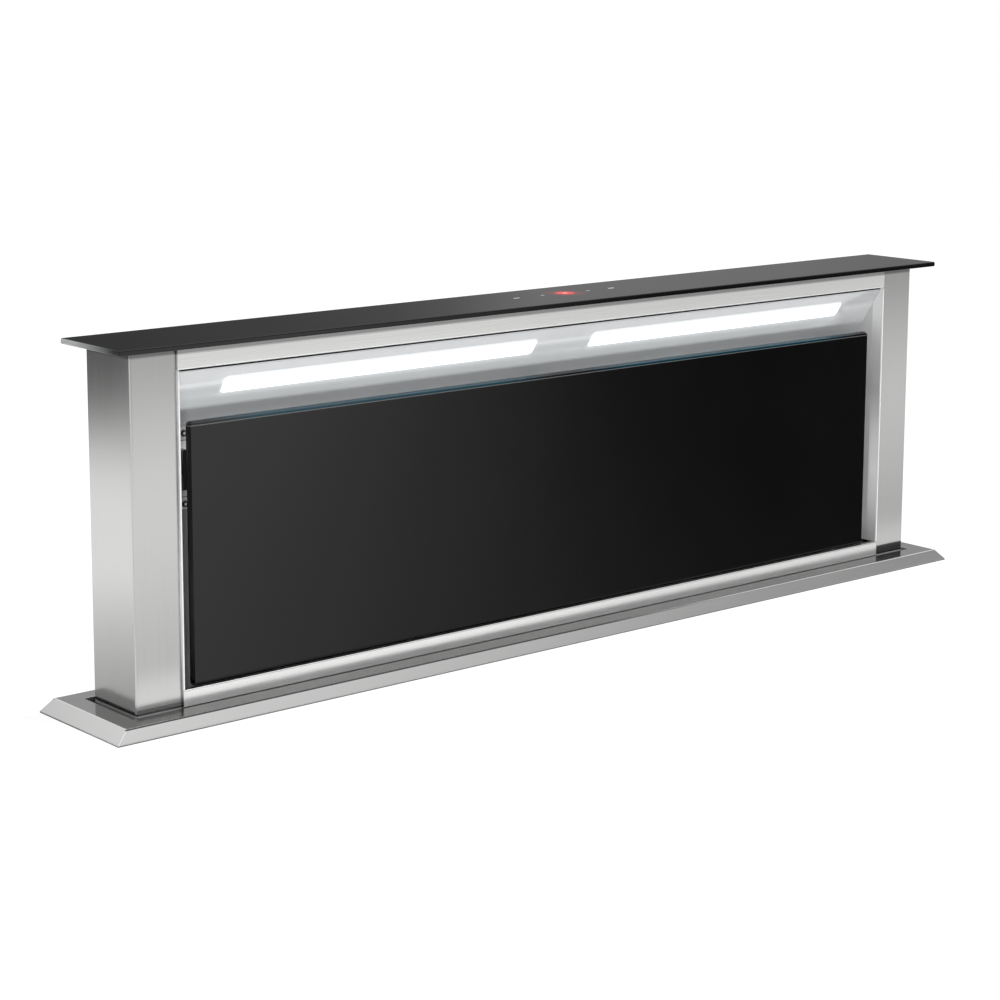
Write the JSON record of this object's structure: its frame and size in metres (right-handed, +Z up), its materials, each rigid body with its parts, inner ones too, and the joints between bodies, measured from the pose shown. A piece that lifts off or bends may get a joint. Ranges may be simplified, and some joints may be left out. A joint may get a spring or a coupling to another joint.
{
  "type": "downdraft vent",
  "caption": "Wide rising extractor for behind a hob: steel tower with a black glass lid, lamps and a hinged glass front, over a casing with lift, blower and round duct.",
  "frame": {"origin": "on the worktop's surface, at the middle of the trim's outline", "axes": "+X to the right seen from the front, +Y to the back, +Z up"},
  "size_m": [0.9, 0.251, 1.051],
  "materials": {
    "tower_steel": "vertical brushed grain",
    "frame_steel": "brushed along its length",
    "trim_steel": "fine brushed, near mirror",
    "casing_steel": "galvanised sheet",
    "black_glass": "polished, back-painted black",
    "lamp_cover": "frosted",
    "black_plastic": "moulded",
    "aluminium": "mill finish",
    "machined_steel": "turned, lightly oiled",
    "brass": "turned",
    "belt_rubber": "toothed belt",
    "seal_foam": "closed-cell foam",
    "motor_paint": "satin black",
    "white_plastic": "moulded",
    "circuit_board": "solder mask"
  },
  "bodies": {
    "casing": {"worktop_trim": "trim_steel", "mount_frame": "casing_steel", "trim_gaskets": "seal_foam", "casing_front": "casing_steel", "casing_rear": "casing_steel", "casing_right": "casing_steel", "casing_left": "casing_steel", "casing_floor": "casing_steel", "sheet_screws": "machined_steel", "support_legs": "casing_steel", "guide_rails": "machined_steel", "screw_bearings": "black_plastic", "drive_belt": "belt_rubber", "belt_guard": "casing_steel", "lift_motor": "motor_paint", "blower_scroll": "casing_steel", "inlet_ring": "white_plastic", "blower_motor": "motor_paint", "duct_collar": "white_plastic", "flap_pin": "machined_steel", "flap_spring": "machined_steel", "control_box": "black_plastic", "control_lid": "black_plastic", "control_board": "circuit_board", "cable_gland": "black_plastic"},
    "tower": {"slide_blocks": "white_plastic", "carriage_beam": "casing_steel", "lift_nuts": "brass", "column_right": "tower_steel", "column_left": "tower_steel", "rear_cover": "tower_steel", "top_plate": "casing_steel", "touch_board": "circuit_board", "top_glass": "black_glass", "fascia": "frame_steel", "lower_front_cover": "frame_steel", "frame_sides": "tower_steel", "light_panel": "frame_steel", "lamp_lens_left": "lamp_cover", "lamp_lens_right": "lamp_cover", "led_channels": "aluminium", "led_boards": "circuit_board", "filter_wall": "frame_steel", "filter_frame_left": "aluminium", "filter_frame_right": "aluminium", "filter_meshes": "aluminium", "drip_tray": "frame_steel", "hinge_brackets": "machined_steel", "catch_brackets": "frame_steel", "panel_catches": "black_plastic"},
    "glass_panel": {"front_glass": "black_glass", "panel_carrier": "casing_steel", "hinge_pins": "machined_steel"},
    "screw_left": {"lead_screw_left": "machined_steel", "pulley_left": "aluminium"},
    "screw_right": {"lead_screw_right": "machined_steel", "pulley_right": "aluminium"},
    "wheel": {"impeller": "black_plastic"},
    "front_flap": {"flap_front": "white_plastic"},
    "rear_flap": {"flap_rear": "white_plastic"}
  },
  "joints": [
    {"name": "tower_lift", "type": "slide", "parent": "casing", "child": "tower", "axis": [0, 0, 1], "range_m": [-0.266, 0]},
    {"name": "panel_tilt", "type": "hinge", "parent": "tower", "child": "glass_panel", "pos_m": [0, -0.0175, 0.028], "axis": [1, 0, 0], "range_deg": [0, 60]},
    {"name": "screw_left_turn", "type": "hinge", "parent": "casing", "child": "screw_left", "pos_m": [-0.4, 0.0005, -0.6], "axis": [0, 0, 1], "range_deg": [0, 4795]},
    {"name": "screw_right_turn", "type": "hinge", "parent": "casing", "child": "screw_right", "pos_m": [0.4, 0.0005, -0.6], "axis": [0, 0, 1], "range_deg": [0, 4795]},
    {"name": "wheel_spin", "type": "hinge", "parent": "casing", "child": "wheel", "pos_m": [-0.07, -0.1, -0.5], "axis": [0, 1, 0], "continuous": true},
    {"name": "front_flap_swing", "type": "hinge", "parent": "casing", "child": "front_flap", "pos_m": [0.128, -0.117, -0.423], "axis": [0, 0, 1], "range_deg": [0, 80], "stiffness_Nm_per_rad": 0.005, "springref_deg": -28.65},
    {"name": "rear_flap_swing", "type": "hinge", "parent": "casing", "child": "rear_flap", "pos_m": [0.128, -0.117, -0.423], "axis": [0, 0, -1], "range_deg": [0, 80], "stiffness_Nm_per_rad": 0.005, "springref_deg": -28.65}
  ],
  "couplings": [
    {"joint": "screw_left_turn", "follows": "tower_lift", "rad_per_m": -314.16},
    {"joint": "screw_right_turn", "follows": "tower_lift", "rad_per_m": -314.16}
  ]
}
